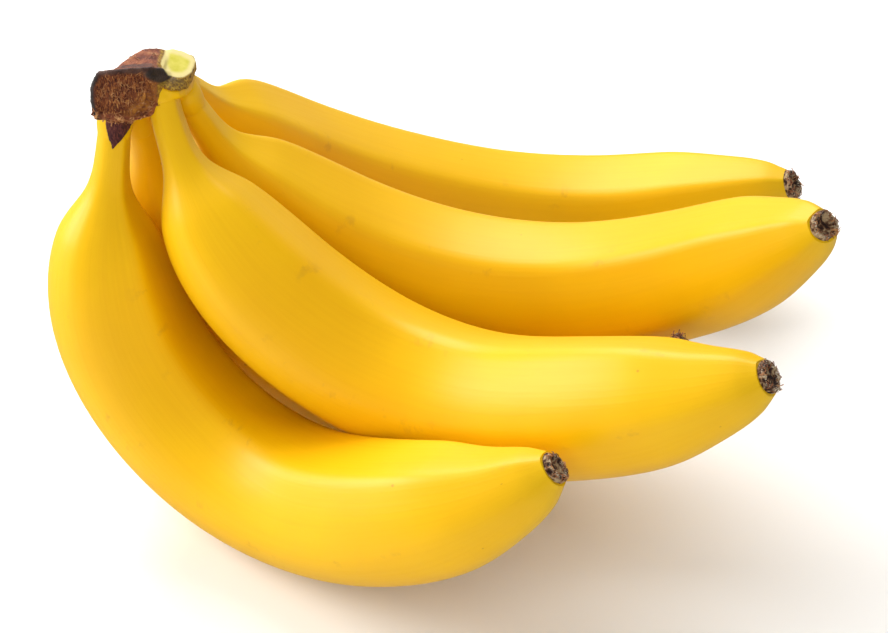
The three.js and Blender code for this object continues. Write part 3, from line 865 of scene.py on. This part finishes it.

# %% [markdown]
# ## Dried flowers
# Every banana ends in what is left of its flower: a crumpled, grey-brown cup with
# a ragged edge and pale, papery rims, and painted shade that darkens its creases
# and low folds. Each one is modelled as a short ring of wall round a sunken middle,
# in mesh code, because no two are alike. Noise with its own seed crumples it.

# %% Material of the dried flowers
petal, tree = new_material("dried_flower_tissue")
here = add_node(tree, "ShaderNodeTexCoord").outputs["Object"]
height = add_node(tree, "ShaderNodeAttribute", attribute_name="height").outputs["Fac"]
rim = add_node(tree, "ShaderNodeAttribute", attribute_name="rim").outputs["Fac"]
grit = add_node(tree, "ShaderNodeTexNoise", {
    "Vector": here, "Scale": 900.0, "Detail": 4.0, "Roughness": 0.65}).outputs["Fac"]
veins = add_node(tree, "ShaderNodeTexNoise", {
    "Vector": here, "Scale": 1100.0, "Detail": 3.0, "Distortion": 2.5}).outputs["Fac"]
# painted shade: the cup is darker where its crumpled surface is low, in its folds and hollows, and paler
# on raised lumps, mixed with the tissue's own mottled grit
painted_fold_shade_and_grit = calc(tree, "ADD", calc(tree, "MULTIPLY", height, 0.6), calc(tree, "MULTIPLY", grit, 0.5))
cup_greys_with_painted_shade = add_node(tree, "ShaderNodeValToRGB", {"Fac": painted_fold_shade_and_grit}, stops=[
    (0.36, "#140803"), (0.5, "#30180E"), (0.61, "#5E4029"), (0.73, "#A08866")]).outputs[0]
pale = add_node(tree, "ShaderNodeMapRange", {
    "Value": veins, "From Min": 0.53, "From Max": 0.61, "To Max": 0.85}).outputs[0]
colour = layered(cup_greys_with_painted_shade, linear("#CDBCA2"), calc(tree, "MULTIPLY", pale, rim))
wrinkle = add_node(tree, "ShaderNodeBump", {
    "Height": calc(tree, "ADD", grit, veins),
    "Strength": 0.8, "Distance": 0.25 * MM})
shine = add_node(tree, "ShaderNodeBsdfPrincipled", {
    "Base Color": colour, "Roughness": 0.78, "IOR": 1.45, "Normal": wrinkle.outputs[0]})
add_node(tree, "ShaderNodeOutputMaterial", {"Surface": shine.outputs[0]})
print("flower material has", len(tree.nodes), "nodes")

# %% Model a crumpled cup on each tip
FLOWER_AROUND = 120
# how far along the tip (mm), and its share of the tip's radius
CUP_PROFILE = [(-1.6, 0.8), (-0.8, 0.95), (0.0, 1.0), (0.4, 1.0), (0.8, 0.98), (1.1, 0.94),
               (1.3, 0.86), (1.2, 0.76), (0.8, 0.66), (0.5, 0.54), (0.4, 0.42), (0.5, 0.28),
               (0.6, 0.03)]
# seed, how much taller one side is (mm), where that side lies (radians), the size
# share, and the length of its loose strands (mm)
FLOWERS = {
    "front_banana": (1, 0.9, 2.2, 0.84, 1.3), "second_banana": (2, 0.5, 0.8, 0.86, 1.3),
    "third_banana": (3, 1.0, 0.0, 0.86, 1.3), "rear_banana": (4, 2.0, 2.6, 0.95, 1.3),
    "lower_banana": (5, 2.4, 0.6, 1.0, 3.4),
}


def crumpled_flower(name, seed, tall, tall_at, share):
    points, along, inward, across = (part[-1] for part in LINES[name])
    reach_keys, radius_keys = np.array(CUP_PROFILE).T
    t = np.linspace(0, len(CUP_PROFILE) - 1, 58)
    keys = np.arange(len(CUP_PROFILE))
    reach = through(keys, reach_keys, t)
    wide = through(keys, radius_keys, t) * FINGERS[name][2] * WIDTH[-1] * share
    turn = np.linspace(0, 2 * np.pi, FLOWER_AROUND, endpoint=False)
    around = np.stack([np.cos(turn), np.sin(turn), np.zeros_like(turn)], 1)
    lobes = noise_at(around * 3.0, 1.6, seed, 3)
    height = 1 + 0.55 * lobes + tall / 2.5 * (0.5 + 0.5 * np.cos(turn - tall_at))
    spread = 1 + 0.14 * noise_at(around * 2.0, 1.2, seed + 9, 3)
    grid_reach = reach[:, None] * np.where(reach[:, None] > 0, height[None], 1)
    above = smooth_step(-0.6, 1.2, reach)[:, None]
    grid_wide = wide[:, None] * (1 + (spread[None] - 1) * above)
    base = (points + grid_reach[..., None] * along
            + grid_wide[..., None] * (np.cos(turn)[:, None] * inward - np.sin(turn)[:, None] * across))
    base = base.reshape(-1, 3)
    core = points + 1.0 * along
    out = base - core
    out /= np.linalg.norm(out, axis=1)[:, None]
    lump = noise_at(base, 1.8, seed, 3)
    fold = noise_at(base, 0.95, seed + 3, 3, ridged=True)
    strength = np.repeat(above, FLOWER_AROUND, 1).reshape(-1)
    moved = base + out * ((0.5 * lump + 0.42 * (fold - 0.4)) * strength)[:, None]
    rows = len(t)
    faces = [(r * FLOWER_AROUND + k, r * FLOWER_AROUND + (k + 1) % FLOWER_AROUND,
              (r + 1) * FLOWER_AROUND + (k + 1) % FLOWER_AROUND, (r + 1) * FLOWER_AROUND + k)
             for r in range(rows - 1) for k in range(FLOWER_AROUND)]
    faces.append(tuple(range(FLOWER_AROUND))[::-1])
    faces.append(tuple(range((rows - 1) * FLOWER_AROUND, rows * FLOWER_AROUND)))
    made = mesh_object(name + "_dried_flower", placed(moved), faces=faces)
    if mesh_volume(made.data) < 0:
        made.data.flip_normals()
    made.data.shade_smooth()
    rim = smooth_step(0.5, 0.9, (grid_reach / (1.3 * height[None])).reshape(-1))
    # height of the crumpled surface, from which the material paints shade into the low folds
    set_attribute(made.data, "height", np.clip(0.5 + 0.7 * lump + 0.6 * (fold - 0.4), 0, 1))
    set_attribute(made.data, "rim", rim)
    set_attribute(made.data, "ragged", np.clip(0.15 + rim, 0, 1) * strength)
    made.data.materials.append(petal)
    return made


print("a cup is", len(CUP_PROFILE), "rings of wall, for", len(FLOWERS), "flowers")

# %% Put the flowers on, each with loose strands
for name, (seed, tall, tall_at, share, long_by) in FLOWERS.items():
    flower = crumpled_flower(name, seed, tall, tall_at, share)
    shreds = grown(flower, strands, {
        "Density": 1.4e6, "Long": long_by * MM, "Thick": 0.08 * MM, "Lift": 0.3 * MM, "Tilt": 0.45,
        "Seed": seed, "Where": "ragged", "Finish": straw}, name + "_flower_shreds")
    for piece in (flower, shreds):
        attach(piece, "root")
        print(piece.name, len(piece.data.polygons), "faces")
    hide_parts(name + "_flower")

# %% [markdown]
# ## Floor and light
# The hand lies on a matt white floor in plain white light. Three soft lamps give
# it shape: one overhead and behind, one from the left, and one from the front
# that leaves no reflection on the skin.

# %% Floor, light and colour management
FLOOR_HALF = 4.0        # metres
FLOOR_DROP = 0.0004     # metres below the part's base, which keeps it clear of the skin
floor_mat, tree = new_material("white_studio_floor")
paint = add_node(tree, "ShaderNodeBsdfPrincipled", {
    "Base Color": linear("#F4F4F2"), "Roughness": 0.9, "Specular IOR Level": 0.1})
add_node(tree, "ShaderNodeOutputMaterial", {"Surface": paint.outputs[0]})
corners = [(x * FLOOR_HALF, y * FLOOR_HALF, -FLOOR_DROP) for x, y in ((-1, -1), (1, -1), (1, 1), (-1, 1))]
floor = mesh_object("floor", corners, faces=[(0, 1, 2, 3)])
floor.data.materials.append(floor_mat)
world = bpy.data.worlds.new("studio")
bpy.context.scene.world = world
world.use_nodes = True
world.node_tree.nodes["Background"].inputs["Color"].default_value = (1, 1, 1, 1)
world.node_tree.nodes["Background"].inputs["Strength"].default_value = 0.36


def soft_light(name, place, aim, size, power, mirrored=True):
    data = bpy.data.lights.new(name, "AREA")
    data.shape = "DISK"
    data.size = size
    data.energy = power
    lamp = bpy.data.objects.new(name, data)
    bpy.context.scene.collection.objects.link(lamp)
    lamp.location = place
    lamp.rotation_euler = (Vector(aim) - Vector(place)).to_track_quat("-Z", "Y").to_euler()
    lamp.visible_glossy = mirrored


soft_light("overhead", (-0.15, 0.6, 0.75), (0, 0, 0.04), 0.9, 11.0)
soft_light("left", (-0.9, 0.2, 0.45), (0, 0, 0.05), 0.6, 9.0)
soft_light("front", (-0.1, -0.95, 0.75), (0, 0, 0.04), 1.0, 7.0, mirrored=False)
floor.visible_glossy = False
scene = bpy.context.scene
scene.view_settings.view_transform = "Standard"
scene.view_settings.look = "None"
